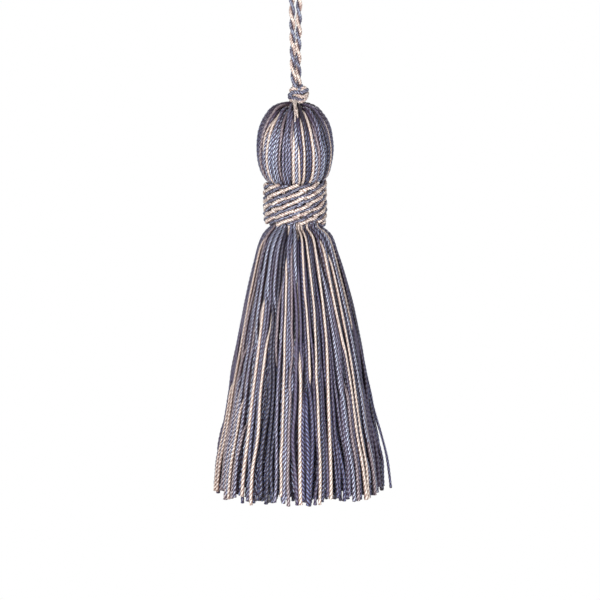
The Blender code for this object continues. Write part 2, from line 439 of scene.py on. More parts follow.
@dataclass(frozen=True)
class PlyFinish:
    """Rounded plies with fine fibres and uneven dye, a painted highlight on each crest and painted shade in the
    grooves between them and where strands press together.
    """

    # colour: the lighter end of the uneven dye and the painted highlight on each ply's crest; shade: the plies'
    # own darker colour on their flanks; groove: painted shade.
    colour: tuple[int, int, int]
    shade: tuple[int, int, int]
    groove: tuple[int, int, int]
    roughness: float
    fade: float
    groove_power: float
    flecks: float = 0.7
    ply_height: float = 0.00007
    fleck_height: float = 0.00004
    fibre_height: float = 0.00002
    fibres_around: float = 8.0
    fibres_along: float = 500.0
    fibre_lean: float = 320.0
    dye_scale: float = 240.0
    fleck_scale: float = 2000.0

    def build(self, name: str) -> bpy.types.Material:
        """The finish as a material that reads the piece's yarn map, its lot, how strongly its plies' painted
        highlights and shade show, and how open its sides lie.

        Args:
            name: the material's name.

        Returns:
            The material.
        """
        graph = Graph(bpy.data.materials.new(name))
        yarn_map = graph.node("ShaderNodeUVMap", {}, uv_map="yarn")
        along = graph.node("ShaderNodeSeparateXYZ", {"Vector": yarn_map})
        around = along["Y"]
        marks = graph.attribute("marks")
        from_crest = abs(around % 1.0 - 0.5) * 2.0
        seen = (from_crest - 0.5) * marks + 0.5
        across = (around + along * self.fibre_lean) * self.fibres_around
        place = graph.node("ShaderNodeCombineXYZ", {"X": along * self.fibres_along, "Y": across})
        fibres = graph.noise(place, 1.0, 2.0, 0.6, "2D")
        where = graph.node("ShaderNodeTexCoord", {})["Object"]
        dye = graph.noise(where, self.dye_scale, 2.0, 0.5, "3D")
        fleck = graph.noise(where, self.fleck_scale, 1.0, 0.5, "3D")
        spot = (fleck - 0.5) * self.flecks
        # The crest's painted highlight fades into the flanks' darker colour, broken up by fibres, flecks,
        # uneven dye and the lot.
        share = fibres * 0.4 + spot + dye * 0.6 + graph.attribute("lot") * 0.7 - seen * self.fade + 0.15
        dye_and_crest_highlight = graph.mixed(graph.clamped(share), linear(*self.shade), linear(*self.colour))
        # Painted shade: the groove colour, laid in the grooves between plies and on the sides pressed against
        # other strands.
        pressed = 1.0 - graph.attribute("open_side")
        depth = graph.clamped(seen) ** self.groove_power - spot * 0.7 + pressed
        crest = (1.0 - from_crest**2.0) * marks
        height = crest * self.ply_height + fibres * self.fibre_height + spot * self.fleck_height
        inputs = {
            "Base Color": graph.mixed(depth, dye_and_crest_highlight, linear(*self.groove)),
            "Roughness": fibres * 0.2 + (self.roughness - 0.10),
            "Normal": graph.node("ShaderNodeBump", {"Height": height, "Strength": 1.0, "Distance": 1.0}),
            "Specular IOR Level": 0.7,
            "Metallic": 0.15,
            "Sheen Weight": 0.1,
            "Sheen Roughness": 0.4,
        }
        return graph.shown(graph.node("ShaderNodeBsdfPrincipled", inputs))


# Each row: painted crest highlight, the plies' own darker colour, painted groove shade, roughness, how fast the
# highlight fades, how the groove shade grows, then flecks where given.
PLY_FINISHES = {
    CREAM: PlyFinish((246, 235, 225), (220, 204, 193), (136, 106, 96), 0.50, 0.9, 1.9),
    # A paler slate whose crest colour is partly a painted highlight.
    BRIGHT: PlyFinish((202, 217, 240), (110, 104, 138), (64, 46, 64), 0.42, 1.7, 1.1),
    SLATE: PlyFinish((156, 169, 201), (84, 76, 106), (60, 43, 60), 0.44, 2.1, 1.1),
    NAVY: PlyFinish((102, 115, 163), (56, 43, 70), (48, 32, 51), 0.42, 2.5, 1.0),
    DARK: PlyFinish((96, 110, 152), (40, 29, 48), (36, 23, 35), 0.42, 3.0, 1.0),
    DUSK: PlyFinish((94, 91, 124), (75, 68, 98), (64, 50, 67), 0.50, 1.0, 1.6),
    # Partly painted shade: a cream as it looks in shade.
    TAUPE: PlyFinish((206, 195, 194), (140, 126, 134), (84, 65, 74), 0.48, 1.5, 1.3),
    CORD_CREAM: PlyFinish((246, 234, 224), (210, 190, 178), (118, 86, 82), 0.50, 1.2, 1.5, 2.4),
    CORD_SLATE: PlyFinish((158, 168, 192), (92, 86, 110), (50, 34, 50), 0.46, 1.4, 1.2, 2.6),
}

# The colours whose plies' bumps, painted highlights and painted shade show less than the others' do above the
# hem.
SOFTER = {CREAM: 0.80, TAUPE: 0.70, DUSK: 0.55}


@dataclass(frozen=True)
class SweepFinish:
    """The white floor: lit, and white to the camera however far it runs."""

    grey: int = 235

    def build(self) -> bpy.types.Material:
        """The finish as a material.

        Returns:
            The material.
        """
        graph = Graph(bpy.data.materials.new("white_sweep"))
        seen = graph.node("ShaderNodeLightPath", {})
        plain = graph.node("ShaderNodeBsdfDiffuse", {"Color": linear(self.grey, self.grey, self.grey)})
        glow = graph.node("ShaderNodeEmission", {"Color": linear(255, 255, 255), "Strength": 1.0})
        return graph.shown(graph.node("ShaderNodeMixShader", {0: seen, 1: plain, 2: glow}))


# ---- winding ----


@dataclass
class Strand:
    """A few plies twisted together, as one tube with a lobe for each ply."""

    line: ndarray
    turned: ndarray
    thickness: ndarray
    tone: Tone
    lot: float
    marks: ndarray
    outward: ndarray


@dataclass
class Spool:
    """Strands of one thickness that become one piece."""

    ply_radius: float
    ply_offset: float
    sides: int
    plies: int
    # Where the painted shade between pressed strands is full and where it has faded out, as the cosine from the
    # outward direction.
    shut: float
    wide_open: float
    end_dome: float = 0.3
    weld: float = 0.0000001
    strands: list[Strand] = field(default_factory=list)

    def add(self, line: ndarray, tone: Tone, pitch: float | ndarray, twist: Twist, rng: Generator,
            lots: tuple[float, float], thickness: ndarray, marks: float | ndarray, outward: ndarray) -> None:
        """Adds one strand, with a point of no thickness just past each end, which closes it.

        Args:
            line: its centre line.
            tone: its colour.
            pitch: the length in which its plies go round once, at each point or the same all over.
            twist: which way they go.
            rng: for how its dye took and how far its plies are turned at the start.
            lots: the least and the most that the dye took, from 0 to 1.
            thickness: at each point, as a share of the spool's own.
            marks: how strongly the plies' bumps, painted highlights and painted shade show, at each point or
                the same all over.
            outward: at each point, the direction away from what the strand is pressed against, which sets where
                its painted shade lies.
        """
        dome = (self.ply_radius + self.ply_offset) * self.end_dome
        ends = unit(line[[0, -1]] - line[[1, -2]]) * dome + line[[0, -1]]
        points = np.vstack([ends[:1], line, ends[1:]])
        pitches = np.pad(np.broadcast_to(pitch, len(line)), (0, 1), mode="edge")
        turns = np.append(0.0, np.cumsum(np.diff(distance_along(points)) / pitches))
        lot = rng.uniform(*lots)
        turned = rng.uniform(0, math.tau) + twist.value * math.tau * turns
        shown = np.pad(np.broadcast_to(marks, len(line)), 1, mode="edge")
        away = np.pad(outward, ((1, 1), (0, 0)), mode="edge")
        self.strands.append(Strand(points, turned, np.pad(thickness, 1), tone, lot, shown, away))

    def wind(self, name: str, node: str, slot: str, materials: Materials) -> bpy.types.Object:
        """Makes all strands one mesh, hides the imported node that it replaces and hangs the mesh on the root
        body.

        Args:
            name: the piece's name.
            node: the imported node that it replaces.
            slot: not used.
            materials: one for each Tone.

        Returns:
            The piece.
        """
        curve = bpy.data.curves.new(name, "CURVE")
        curve.dimensions = "3D"
        curve.bevel_mode = "OBJECT"
        profile = self._profile()
        curve.bevel_object = profile
        curve.twist_mode = "MINIMUM"
        curve.render_resolution_u = 0
        used = [tone for tone in Tone if any(tone is strand.tone for strand in self.strands)]
        for tone in used:
            curve.materials.append(materials[tone])
        for strand in self.strands:
            spline = curve.splines.new("POLY")
            spline.points.add(len(strand.line) - 1)
            places = np.pad(strand.line, ((0, 0), (0, 1)), constant_values=1)
            for key, values in (("co", places), ("radius", strand.thickness), ("tilt", strand.turned)):
                spline.points.foreach_set(key, values.astype(np.float32).ravel())
            spline.use_smooth = True
        piece = placed(name, curve)
        bpy.ops.object.select_all(action="DESELECT")
        piece.select_set(True)
        bpy.context.view_layer.objects.active = piece
        bpy.ops.object.convert(target="MESH")
        bpy.data.objects.remove(profile, do_unlink=True)
        self._map(piece.data, used)
        bpy.ops.object.mode_set(mode="EDIT")
        bpy.ops.mesh.select_all(action="SELECT")
        bpy.ops.mesh.remove_doubles(threshold=self.weld)
        bpy.ops.object.mode_set(mode="OBJECT")
        bpy.ops.object.shade_smooth_by_angle(angle=math.radians(85))
        LOG.info("%s: %d strands, %d triangles", name, len(self.strands), triangles(piece))
        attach(piece, "root")
        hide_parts(node)
        return piece

    def _profile(self) -> bpy.types.Object:
        """The plies' common outline, drawn from one groove between them round to it again.

        Returns:
            The outline's object.
        """
        outline = bpy.data.curves.new("strand_outline", "CURVE")
        outline.dimensions = "2D"
        spline = outline.splines.new("POLY")
        spline.points.add(self.sides - 1)
        share = math.tau / self.plies
        for n, point in enumerate(spline.points):
            angle = math.tau * n / self.sides
            from_lobe = angle % share - share / 2
            sideways = self.ply_offset * math.sin(from_lobe)
            reach = self.ply_offset * math.cos(from_lobe) + math.sqrt(self.ply_radius**2 - sideways**2)
            point.co = (reach * math.cos(angle), reach * math.sin(angle), 0.0, 1.0)
        spline.use_cyclic_u = True
        return placed("strand_outline", outline)

    def _spread(self, values: list[ndarray]) -> ndarray:
        """Values along each strand, once for each point round it."""
        return np.repeat(np.concatenate(values), self.sides, axis=0)

    def _map(self, mesh: bpy.types.Mesh, used: list[Tone]) -> None:
        """Gives the mesh its strands' colours, its attributes and its maps.

        The yarn map counts metres along a strand and plies round it. The bake map gives each strand a strip.

        Args:
            mesh: made from the strands, in their order.
            used: the colour of each of its material slots.
        """
        counts = [len(strand.line) * self.sides for strand in self.strands]
        owner = np.repeat(np.arange(len(counts)), counts)
        if len(owner) != len(mesh.vertices):
            raise RuntimeError(f"{mesh.name}: {len(mesh.vertices)} points, not {len(owner)}")
        along = self._spread([distance_along(strand.line) for strand in self.strands])
        marks = self._spread([strand.marks for strand in self.strands])
        lots = np.array([strand.lot for strand in self.strands])[owner]
        corners = fetched(mesh.loops, "vertex_index", kind=np.int32)
        mesh.uv_layers[0].name = "yarn"
        mesh.uv_layers.new(name="OFBake")
        around = fetched(mesh.uv_layers["yarn"].uv, "vector", 2)[:, 1]
        strip = (owner[corners] + 0.08 + 0.84 * around) / len(counts)
        height = 0.01 + 0.98 * along[corners] / along.max()
        maps = {"yarn": (along[corners] + lots[corners], around * self.plies), "OFBake": (strip, height)}
        for name, places in maps.items():
            mesh.uv_layers[name].uv.foreach_set("vector", np.column_stack(places).astype(np.float32).ravel())
        # The marks and open_side attributes set how much painted highlight and painted shade each point gets.
        for name, values in (("lot", lots), ("marks", marks), ("open_side", self._open_side(mesh))):
            mesh.attributes.new(name, "FLOAT", "POINT").data.foreach_set("value", values.astype(np.float32))
        tones = np.array([used.index(strand.tone) for strand in self.strands], np.int32)
        mesh.polygons.foreach_set("material_index", tones[owner[corners[::4]]])

    def _open_side(self, mesh: bpy.types.Mesh) -> ndarray:
        """How open each point of the mesh lies, from 0 where its strand is pressed against another to 1: the
        finishes paint shade where it is low.

        Args:
            mesh: made from the strands, in their order.

        Returns:
            One value for each point.
        """
        outward = self._spread([strand.outward for strand in self.strands])
        spokes = fetched(mesh.vertices, "co", 3) - self._spread([strand.line for strand in self.strands])
        facing = (spokes * outward).sum(1) / (np.linalg.norm(spokes, axis=1) + 1e-9)
        facing += (1 - np.linalg.norm(outward, axis=1)) * self.wide_open
        return np.clip((facing - self.shut) / (self.wide_open - self.shut), 0, 1)


@dataclass(frozen=True)
class CordLay:
    """How the cord is made: a slate and a cream strand laid together, each of three plies."""

    strand_pitch: float = 0.00656
    strand_offset: float = 0.00037
    ply_pitch: float = 0.00190
    marks: float = 0.6
    ply_offset: float = 0.00018
    ply_radius: float = 0.00027
    sides: int = 12
    step: float = 0.00015
    # Where the painted shade between the two strands is full and where it has faded out.
    shut: float = -0.80
    wide_open: float = -0.05
    cream_girth: float = 1.08
    slub_length: float = 0.0031
    slub: float = 0.03
    lots: tuple[float, float] = (0.3, 0.7)
    strands: tuple[Tone, ...] = (CORD_SLATE, CORD_CREAM)

    def spool(self) -> Spool:
        """An empty spool for this cord's strands."""
        return Spool(self.ply_radius, self.ply_offset, self.sides, 3, self.shut, self.wide_open)

    def lay(self, spool: Spool, line: ndarray, phase: float | ndarray, rng: Generator) -> None:
        """Lays the cord along a line.

        Args:
            spool: takes the strands.
            line: the centre line.
            phase: how far round the middle the first strand lies, at each step or the same all over.
            rng: for the small unevenness.
        """
        line = even_steps(line, self.step)
        tangents = unit(np.gradient(line, axis=0))
        normals = carried_normals(tangents)
        sides = unit(np.cross(tangents, normals))
        laid = math.tau * distance_along(line) / self.strand_pitch
        for n, tone in enumerate(self.strands):
            turn = phase + math.tau * n / len(self.strands) - laid
            outward = np.cos(turn)[:, None] * normals + np.sin(turn)[:, None] * sides
            girth = 1.0 if tone is CORD_SLATE else self.cream_girth
            # Each strand gets painted shade on its side that faces the other.
            self.single(spool, line + self.strand_offset * outward, tone, rng, girth, outward)

    def single(self, spool: Spool, line: ndarray, tone: Tone, rng: Generator, thickness: float | ndarray,
               outward: ndarray | None = None) -> None:
        """Lays one strand by itself.

        Args:
            spool: takes the strand.
            line: its centre line.
            tone: its colour.
            rng: for the small unevenness.
            thickness: as a share of its own, at each point or the same all over.
            outward: at each point, the direction away from what the strand is pressed against.
        """
        away = np.zeros_like(line) if outward is None else outward
        turn = rng.uniform(0, math.tau)
        uneven = 1 + self.slub * np.sin(math.tau * distance_along(line) / self.slub_length + turn)
        spool.add(line, tone, self.ply_pitch, Twist.Z, rng, self.lots, thickness * uneven, self.marks, away)


# ---- pieces ----


@dataclass
class HangingLoop:
    """The two legs of cord and the bend that closes them."""

    lay: CordLay
    materials: Materials
    diameter: float = 0.0015
    path_step: float = 0.0015
    seed: int = 11

    def build(self) -> bpy.types.Object:
        """The loop as one piece.

        Returns:
            The piece.
        """
        line = smooth_line(LOOP_ROUTE, 8)
        spool = self.lay.spool()
        along = distance_along(even_steps(line, self.lay.step))
        reached = LEFT_TURN - math.tau * along[-1] / self.lay.strand_pitch
        missing = (RIGHT_TURN - reached + math.pi) % math.tau - math.pi
        share = np.clip(along / along[-1] * 2 - 0.5, 0, 1)
        turned = LEFT_TURN + missing * share**2 * (3 - 2 * share)
        self.lay.lay(spool, line, turned, np.random.default_rng(self.seed))
        piece = spool.wind("loop_cord", "hanging_loop", "loop_cord", self.materials)
        path = even_steps(line, self.path_step)
        return piece


@dataclass
class LoopKnot:
    """The knot that closes the loop, and the single strand that runs on from it."""

    lay: CordLay
    materials: Materials
    knot_girth: float = 1.13
    end_girths: tuple[float, float] = (1.55, 0.32)
    stub_girths: tuple[float, float] = (1.10, 0.32)
    seed: int = 12

    def build(self) -> bpy.types.Object:
        """The knot as one piece.

        Returns:
            The piece.
        """
        rng = np.random.default_rng(self.seed)
        spool = self.lay.spool()
        self.lay.lay(spool, smooth_line(LEFT_LEG_ROUTE, 10), -LEFT_TURN, rng)
        self.lay.lay(spool, smooth_line(RIGHT_LEG_ROUTE, 10), RIGHT_TURN, rng)
        for tone, route in KNOT_STRANDS:
            line = even_steps(smooth_line(route, 12), self.lay.step)
            self.lay.single(spool, line, tone, rng, self.knot_girth)
        for route, girths in ((END_ROUTE, self.end_girths), (STUB_ROUTE, self.stub_girths)):
            line = even_steps(smooth_line(route, 10), self.lay.step)
            self.lay.single(spool, line, CORD_CREAM, rng, np.linspace(*girths, len(line)))
        return spool.wind("knot_cord", "loop_knot", "knot_cord", self.materials)


@dataclass
class NeckBinding:
    """The cord wound round the neck, its ends tucked in under the turns.

    The turns press on each other, so a strand lies at the front for most of its pitch, runs straight on into
    the next turn's strand, and goes behind the other strand quickly.
    """

    lay: CordLay
    materials: Materials
    radius: float = 0.00722
    shift: float = -0.0001
    top_drop: float = 0.07205
    turn_pitch: float = 0.00162
    turns: float = 6.1
    start_azimuth: float = math.radians(115)
    tuck: float = 0.0009
    tuck_turn: float = math.radians(22)
    in_front: float = 0.82
    rise: float = 0.00081
    bulge: float = 0.00030
    dive: float = 0.00060
    slate_girth: float = 0.90
    cream_girth: float = 1.10
    girth_waves: float = 700.0
    seed: int = 13

    def centre_line(self) -> ndarray:
        """The cord's middle, from the top end down.

        Returns:
            Rows of points.
        """
        turned = np.linspace(0, self.turns * math.tau, int(self.turns * 360))
        azimuth = self.start_azimuth - turned
        from_end = np.minimum(turned, turned[-1] - turned)
        tucked = self.tuck * np.clip(1 - from_end / self.tuck_turn, 0, 1) ** 2
        radius = self.radius - tucked + wave(BINDING_RADIUS, turned)
        drop = self.top_drop + self.turn_pitch * turned / math.tau + wave(BINDING_DROP, turned)
        return np.column_stack([self.shift + radius * np.sin(azimuth), -radius * np.cos(azimuth), -drop])

    def strand(self, line: ndarray, ahead: float) -> ndarray:
        """The centre line of one strand of the pressed cord, some share of a pitch ahead.

        Args:
            line: the cord's middle.
            ahead: the share of a pitch.

        Returns:
            The strand's middle, point by point.
        """
        around = math.tau * self.radius
        pitch = around / (round(around / self.lay.strand_pitch + self.in_front) - self.in_front)
        along = distance_along(line)
        place = (along / pitch + ahead + wave(BINDING_DRIFT, along)) % 1
        fore = np.clip(place / self.in_front, 0, 1)
        back = np.clip((place - self.in_front) / (1 - self.in_front), 0, 1)
        front = place < self.in_front
        up = np.where(front, 1 - 2 * fore, 2 * back**2 * (3 - 2 * back) - 1) * self.rise
        out = np.where(front, self.bulge * np.sin(math.pi * fore), -self.dive * np.sin(math.pi * back))
        return line + out[:, None] * round_off(line - (self.shift, 0, 0)) + up[:, None] * (0, 0, 1)

    def build(self) -> bpy.types.Object:
        """The binding as one piece.

        Returns:
            The piece.
        """
        rng = np.random.default_rng(self.seed)
        spool = self.lay.spool()
        line = self.centre_line()
        for n, tone in enumerate(self.lay.strands):
            strand = even_steps(self.strand(line, n / len(self.lay.strands)), self.lay.step)
            along = distance_along(strand)
            waves = np.zeros((3, len(strand)))
            for length, size in BINDING_WAVES:
                turn = rng.uniform(0, math.tau, (3, 1))
                waves += size * np.sin(math.tau * along / length * rng.uniform(0.9, 1.1, (3, 1)) + turn)
            strand = strand + waves[0][:, None] * (0, 0, 1)
            strand = strand + waves[1][:, None] * round_off(strand)
            girth = self.slate_girth if tone is CORD_SLATE else self.cream_girth
            girths = girth * (1 + self.girth_waves * waves[2])
            # Each strand gets painted shade on its side turned towards the neck.
            self.lay.single(spool, strand, tone, rng, girths, round_off(strand))
        return spool.wind("binding_cord", "neck_binding", "binding_cord", self.materials)


class Outline:
    """The bundle's outline from the head's top to the hem, by the distance along it."""

    def __init__(self, step: float = 0.0002) -> None:
        """Draws the smooth line through the sections and measures it.

        Args:
            step: the distance between its points.
        """
        rows = smooth_line(OUTLINE, 24)
        along = distance_along(rows[:, :2])
        self.along = np.arange(0, along[-1], step)
        self.drop, self.radius, self.shift, self.fluting = (np.interp(self.along, along, c) for c in rows.T)
        slopes = np.column_stack([np.gradient(self.drop, self.along), np.gradient(self.radius, self.along)])
        self.normal_out, self.normal_up = unit(slopes).T

    def at(self, values: ndarray, along: ndarray) -> ndarray:
        """One of the outline's columns at some distances along it."""
        return np.interp(along, self.along, values)

    def where_drop(self, drop: float) -> float:
        """How far along the outline a drop is reached."""
        return float(np.interp(drop, self.drop, self.along))

    def ramp(self, along: ndarray, drop: float, length: float) -> ndarray:
        """From 0 at a drop to 1 a length further along, or back up for a length below 0."""
        return np.clip((along - self.where_drop(drop)) / length, 0, 1)

    def place(self, along: ndarray, azimuth: ndarray, depth: ndarray) -> ndarray:
        """Points by distance along the outline, angle round the tassel and depth below the surface.

        Args:
            along: distances along the outline.
            azimuth: angles round the tassel.
            depth: depths below the surface.

        Returns:
            Rows of points.
        """
        out = self.at(self.normal_out, along)
        standing = self.at(self.fluting, along) * wave(LOCKS, azimuth - math.pi / 2)
        reach = np.maximum(self.at(self.radius, along) + standing - depth * out, 0.0001)
        height = -self.at(self.drop, along) - depth * self.at(self.normal_up, along)
        right = self.at(self.shift, along) + reach * np.sin(azimuth)
        return np.column_stack([right, -reach * np.cos(azimuth), height])

    def normals(self, along: ndarray, azimuth: ndarray) -> ndarray:
        """The outward directions there.

        Args:
            along: distances along the outline.
            azimuth: angles round the tassel.

        Returns:
            Rows of directions.
        """
        out = self.at(self.normal_out, along)
        up = self.at(self.normal_up, along)
        return np.column_stack([out * np.sin(azimuth), -out * np.cos(azimuth), up])


@dataclass(frozen=True)
class ShownYarn:
    """A yarn that stands out on the front, placed from the photograph.

    The azimuths are in degrees: in the head, at the skirt's top and at the hem. A yarn with no place in the
    head starts at the neck. It lies under its neighbours between the drops of each hidden stretch, in
    millimetres.
    """

    head: float | None
    top: float
    hem: float
    tone: Tone
    hidden: tuple[tuple[float, float], ...] = ()
    twist: Twist = Twist.Z


SHOWN_YARNS = tuple(ShownYarn(*row) for row in (
    (-58, -66, -70, CREAM, ((0, 57), (64, 83))),
    (None, -72, -76, CREAM, ((0, 120),)),
    (None, -61, -65, TAUPE, ((0, 112),)),
    (None, -63, -61, BRIGHT, ((0, 118),)),
    (None, -54, -54, CREAM, ((0, 124),)),
    (None, -56, -58, TAUPE, ((0, 120),)),
    (-54, -52, -57, BRIGHT, ((0, 59), (83, 93))),
    (None, -48, -47, BRIGHT, ((0, 112),)),
    (-47, -39, -41, CREAM, ((0, 55), (83, 98.5))),
    (None, -43, -51, TAUPE, ((0, 100.5), (106, 130))),
    (-42, -46, -46, BRIGHT, ((0, 58), (110, 1000))),
    (-35, -37, -38, BRIGHT, ((0, 60), (100, 1000))),
    (None, -31, -34, CREAM, ((0, 108.5),)),
    (-29, -27, -28, BRIGHT, ((0, 60), (100, 1000))),
    (-26, -21, -22, TAUPE, ((0, 55), (59, 98.5), (114.5, 1000))),
    (-18, -17, -17, BRIGHT, ((0, 60), (80, 93))),
    (None, -13, -11, CREAM, ((84.6, 88.8),)),
    (None, -10, -10, BRIGHT, ((0, 120),)),
    (-5, -7, -7, TAUPE, ((0, 56), (61, 86), (110.5, 112.5))),
    (-1, 1, 0, CREAM, ((0, 59), (83, 114.5))),
    (2, -2, -2, BRIGHT, ((0, 59), (94, 1000))),
    (6, 9, 10, CREAM, ((0, 63), (120, 1000))),
    (None, 5, 4, NAVY, ((0, 123),), Twist.S),
    (None, 7, 8, NAVY, ((0, 123),), Twist.S),
    (15, 17, 13, CREAM, ((0, 55),)),
    (30, 29, 21, CREAM, ((0, 54.5),)),
    (36, 34, 36, BRIGHT, ((0, 64), (83, 92))),
    (None, 39, 37, SLATE, ((0, 96),)),
    (40, 43, 43, TAUPE, ((0, 58.5), (83, 120))),
    (None, 43, 53, CREAM, ((0, 85),)),
    (None, 46, 46, NAVY, ((0, 110),)),
    (61, 53, 56, CREAM, ((0, 88),)),
    (50, 60, 66, BRIGHT, ((0, 62),)),
    (75, 70, 74, CREAM, ((0, 53), (110, 1000))),
    (None, 62, 64, TAUPE, ((0, 118),)),
))

# The other yarns on the front, from left to right: where a stretch ends, in degrees, and its colours.
FRONT_STRETCHES = (
    (-77, (DUSK, NAVY, DUSK)),
    (-66, (DUSK, SLATE, BRIGHT)),
    (-46, (SLATE, TAUPE, SLATE, BRIGHT)),
    (-32, (SLATE, NAVY, SLATE)),
    (-14, (DARK, DARK, NAVY)),
    (-3, (SLATE, DARK, SLATE, NAVY)),
    (11, (NAVY, DARK, DUSK)),
    (30, (DUSK, NAVY, DUSK, DARK)),
    (44, (DARK, SLATE, NAVY, DUSK)),
    (58, (DARK, DUSK, NAVY, SLATE)),
    (90, (DUSK, DARK, NAVY)),
)

BACK_MIX = {CREAM: 0.18, TAUPE: 0.05, BRIGHT: 0.10, SLATE: 0.22, NAVY: 0.12, DARK: 0.08, DUSK: 0.25}


@dataclass
class Yarn:
    """One yarn of the bundle: where it lies, how it looks and how far it hangs free of the others."""

    along: ndarray
    azimuth: ndarray
    depth: ndarray
    tone: Tone
    twist: Twist
    inner: bool
    free: ndarray


@dataclass
class YarnBundle:
    """The folded hank: yarns over the head and more from the neck down, side by side, cut at the hem."""

    materials: Materials
    outline: Outline = field(default_factory=Outline)
    over_head: int = 78
    from_neck: int = 88
    inside_head: int = 64
    inside_skirt: int = 250
    neck_drop: float = 0.0790
    head_inside_drop: float = 0.0540
    inside_drop: float = 0.1080
    inside_spread: float = 0.012
    skirt_drop: float = 0.083
    skirt_length: float = 0.066
    shown_drops: tuple[float, ...] = (0.073, 0.083, 0.100, 0.148)
    hem_drop: float = 0.1483
    hem_ragged: float = 0.0007
    hem_uneven: tuple[float, float] = (-0.0014, 0.0009)
    hem_forward: float = 0.0012
    hem_inner: float = 0.0014
    yarn_radius: float = 0.00046
    width: float = 0.000874
    spacing: float = 0.00098
    layer: float = 0.00070
    level_step: float = 0.0010
    step: float = 0.00040
    inner_step: float = 0.00110
    ply_radius: float = 0.00030
    ply_offset: float = 0.00016
    ply_pitch: float = 0.0044
    splay: float = 0.0018
    way_out: float = 0.005
    slant: float = 0.040
    steady: float = 0.25
    uneven: float = 0.012
    roll_lengths: tuple[float, float] = (0.02, 0.05)
    roll_head: float = 0.00006
    roll_skirt: float = 0.00022
    deepest: float = 0.0005
    girths: tuple[float, float] = (0.84, 1.10)
    pitches: tuple[float, float] = (0.88, 1.12)
    marks: tuple[float, float] = (0.8, 1.1)
    stray_azimuth: float = math.radians(88)
    stray_from: float = 0.115
    stray_drop: float = 0.1491
    twisted_back: float = 0.10
    rounds: int = 24
    quick_rounds: int = 4
    push: float = 0.35
    pull: float = 0.06
    shown_pull: float = 0.20
    depth_pull: float = 0.04
    most_turn: float = 0.06
    most_sink: float = 0.0003
    # Where the painted shade between neighbouring yarns is full and where it has faded out.
    shut: float = 0.0
    wide_open: float = 0.75
    seed: int = 5

    @property
    def outer(self) -> int:
        """How many yarns lie on the outside."""
        return self.over_head + self.from_neck

    def build(self) -> list[bpy.types.Object]:
        """The bundle as a few joined pieces, by the side they lie on.

        Returns:
            The pieces.
        """
        rng = np.random.default_rng(self.seed)
        pieces = []
        for name, members in self._sorted_by_side(self._laid_out(rng)).items():
            plies = 3 if name == "yarns_inside" else 4
            spool = Spool(self.ply_radius, self.ply_offset, 2 * plies, plies, self.shut, self.wide_open)
            for yarn in members:
                self._twist_up(spool, yarn, rng)
            pieces.append(spool.wind(name, "yarn_bundle", "mixed_yarn", self.materials))
        return pieces

    def _laid_out(self, rng: Generator) -> list[Yarn]:
        """Every yarn of the bundle, settled among its neighbours.

        Args:
            rng: for where the yarns stray, and their colours and ends.

        Returns:
            The yarns, those on the outside first.
        """
        line = self.outline
        levels = np.arange(0, line.along[-1], self.level_step)
        drops = line.at(line.drop, levels)
        total = self.outer + self.inside_head + self.inside_skirt
        azimuth = (np.arange(total) * GOLDEN_ANGLE + math.pi) % math.tau - math.pi
        azimuth[:self.outer] += rng.normal(0, self.uneven, self.outer)
        tones = self._dyed(azimuth, rng)
        shown = self._picked(azimuth, tones)
        homes = azimuth + self._wandering(levels, total, rng)
        depths = self._depths(levels, rng)
        for n, yarn in shown.items():
            head = yarn.top if yarn.head is None else yarn.head
            places = np.interp(drops, self.shown_drops, (head, yarn.top, yarn.top, yarn.hem))
            homes[:, n] = np.radians(places) + 0.5 * (homes[:, n] - azimuth[n])
            inside = [np.minimum(drops - first * MM, last * MM - drops) for first, last in yarn.hidden]
            away = np.clip(np.max([*inside, drops * 0 - 1], axis=0) / self.way_out + 0.5, 0, 1)
            depths[:, n] = self.yarn_radius + read_off(HIDDEN, drops) * away
        homes += read_off(FAN, drops)[:, None] * np.sin(azimuth)
        start = np.zeros(total)
        start[self.over_head:] = line.where_drop(self.neck_drop)
        start[self.outer:] = line.where_drop(self.head_inside_drop)
        spread = np.arange(self.inside_skirt) * 0.382 % 1
        start[-self.inside_skirt:] = line.where_drop(self.inside_drop) + self.inside_spread * spread
        pull = np.full(total, self.pull)
        pull[list(shown)] = self.shown_pull
        turned, sunk = self._settled(levels, homes, depths, levels[:, None] >= start - self.level_step, pull)
        stray = int(np.argmin(np.abs(azimuth[:self.outer] - self.stray_azimuth)))
        tones[stray] = NAVY
        free = np.zeros((len(levels), total))
        free[:, stray] = np.clip((drops - self.stray_from) / 0.010, 0, 1)
        turned += free * (self.stray_azimuth - turned)
        sunk += free * (read_off(STRAY, drops)[:, None] - sunk)
        yarns = []
        for n, tone in enumerate(tones):
            cut = self._cut(azimuth[n], n >= self.outer, rng)
            end = line.where_drop(self.stray_drop if n == stray else cut)
            along = np.arange(start[n], end, self.inner_step if n >= self.outer else self.step)
            courses = [np.interp(along, levels, course[:, n]) for course in (turned, sunk, free)]
            twist = shown[n].twist if n in shown else Twist.Z
            if n not in shown and rng.random() < self.twisted_back and n >= self.over_head:
                twist = Twist.S
            yarns.append(Yarn(along, *courses[:2], tone, twist, n >= self.outer, courses[2]))
        return yarns

    def _dyed(self, azimuth: ndarray, rng: Generator) -> list[Tone]:
        """Chooses each yarn's colour by where it lies.

        Args:
            azimuth: where each yarn lies, from the front, in radians.
            rng: picks among the colours there.

        Returns:
            A colour for each yarn.
        """
        tones = []
        weights = np.array(list(BACK_MIX.values()))
        for angle in np.degrees(azimuth):
            tones.append(list(BACK_MIX)[rng.choice(len(BACK_MIX), p=weights / weights.sum())])
            if -90 < angle < 90:
                stretch = next(colours for end, colours in FRONT_STRETCHES if angle <= end)
                tones[-1] = stretch[rng.integers(len(stretch))]
        return tones

